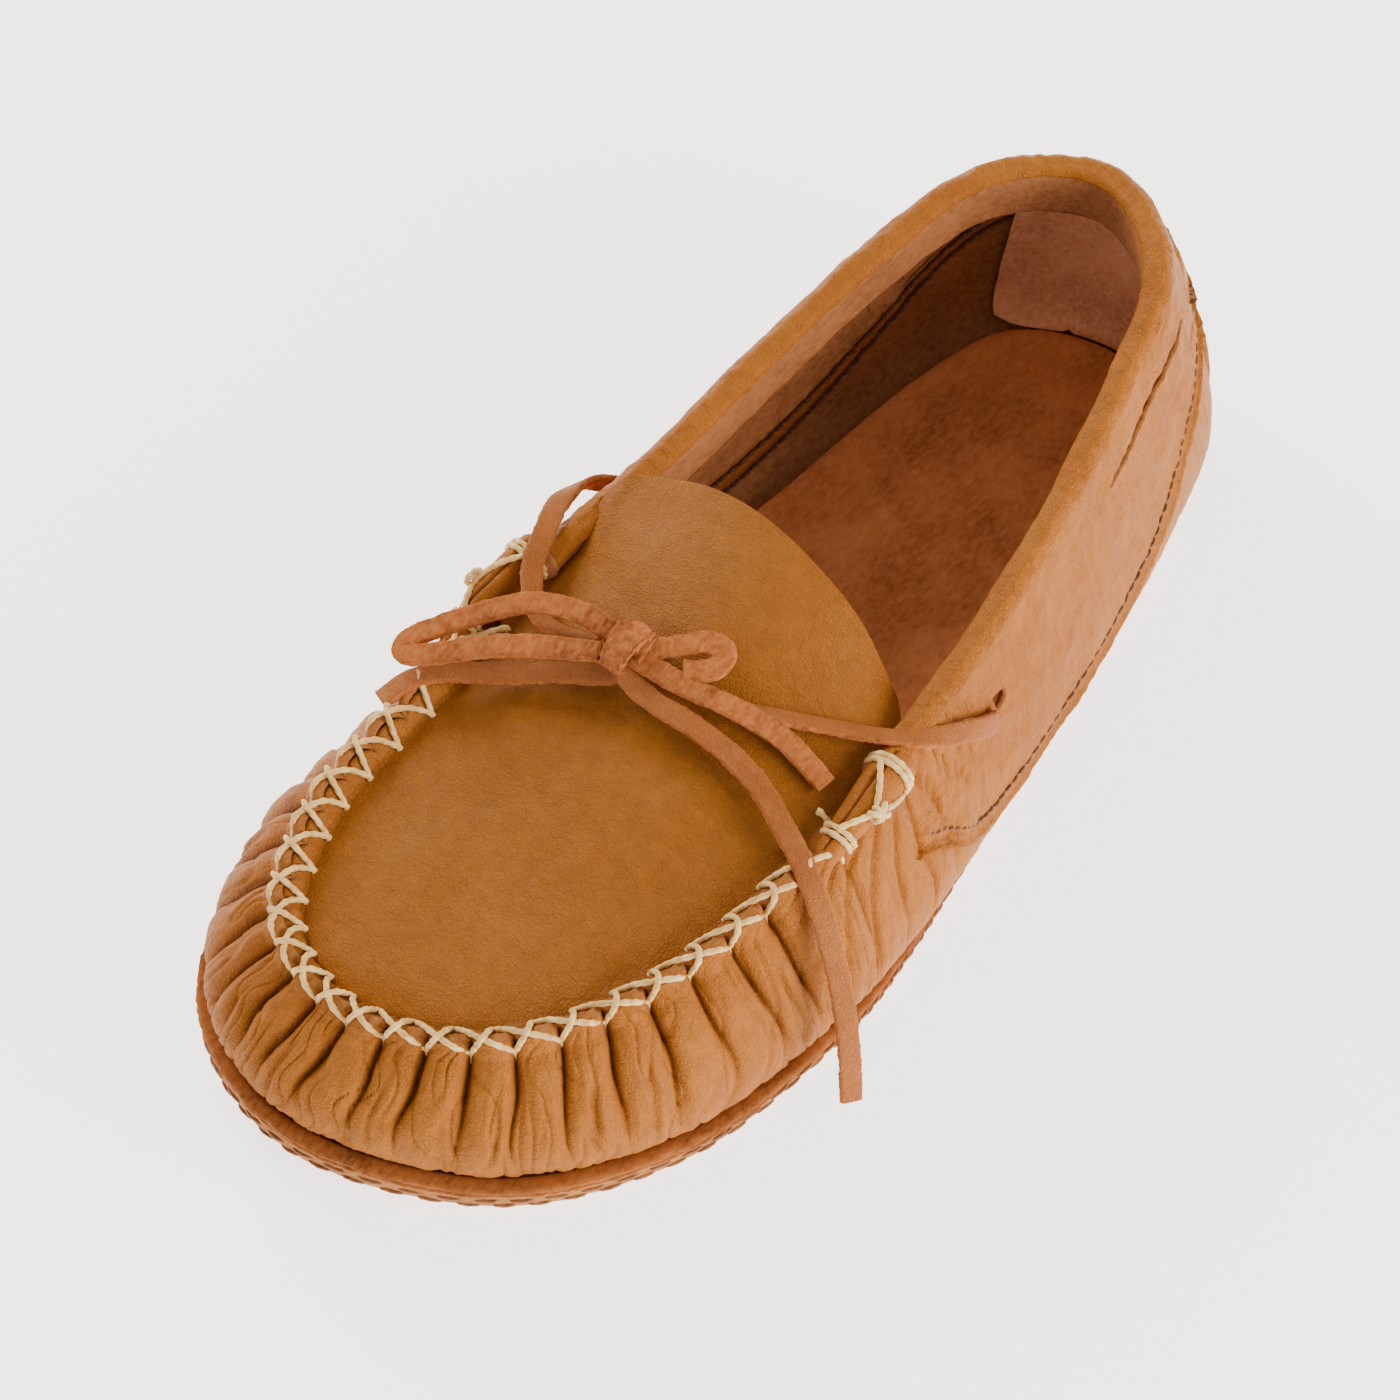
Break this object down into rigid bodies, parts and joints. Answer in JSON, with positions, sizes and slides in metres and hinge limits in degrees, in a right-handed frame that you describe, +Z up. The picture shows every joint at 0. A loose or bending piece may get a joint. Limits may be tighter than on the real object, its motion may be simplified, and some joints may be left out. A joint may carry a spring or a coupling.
{
  "type": "moccasin shoe",
  "caption": "Slip-on leather moccasin with a gathered toe, hand-stitched apron, folded collar and a flat leather lace tied in a bow.",
  "frame": {"origin": "middle of the shoe's footprint, on the surface it stands on", "axes": "+Z up, +Y towards the heel, -Y towards the toe, +X towards the wearer's left"},
  "size_m": [0.1331, 0.2787, 0.0722],
  "materials": {
    "upper_leather": "soft matte tan leather with a fine grain",
    "sole_leather": "matte tan leather, raw brown cut edge",
    "insole_suede": "brushed reddish-brown suede",
    "tape_leather": "matte leather tape",
    "lace_leather": "smooth on one face, fuzzy suede on the other",
    "foam": "soft closed-cell foam",
    "waxed_thread": "waxed cream thread",
    "brown_thread": "dark brown sewing thread"
  },
  "bodies": {
    "shoe": {"outsole": "sole_leather", "body_wrap": "upper_leather", "foam_pad": "foam", "insole": "insole_suede", "apron": "upper_leather", "quarter_left": "upper_leather", "quarter_right": "upper_leather", "collar": "upper_leather", "seam_tape_left": "tape_leather", "seam_tape_right": "tape_leather", "heel_patch": "upper_leather", "heel_lining": "insole_suede", "lace": "lace_leather", "lace_knot": "lace_leather", "lace_tail_long": "lace_leather", "lace_tail_short": "lace_leather", "lace_end_left": "lace_leather", "bow_loop_right": "lace_leather", "apron_stitching": "waxed_thread", "seam_wrap_left": "waxed_thread", "seam_wrap_right": "waxed_thread", "sole_stitching": "brown_thread", "quarter_stitching": "brown_thread", "tape_stitching": "brown_thread"},
    "tongue_flap": {"tongue": "upper_leather"},
    "bow_ear": {"bow_loop_left": "lace_leather"}
  },
  "joints": [
    {"name": "tongue_bend", "type": "hinge", "parent": "shoe", "child": "tongue_flap", "pos_m": [0, -0.0235, 0.056], "axis": [1, 0, 0], "range_deg": [-4, 18], "stiffness_Nm_per_rad": 0.03},
    {"name": "bow_ear_lift", "type": "hinge", "parent": "shoe", "child": "bow_ear", "pos_m": [-0.013, -0.031, 0.0585], "axis": [0, 1, 0], "range_deg": [0, 45]}
  ]
}
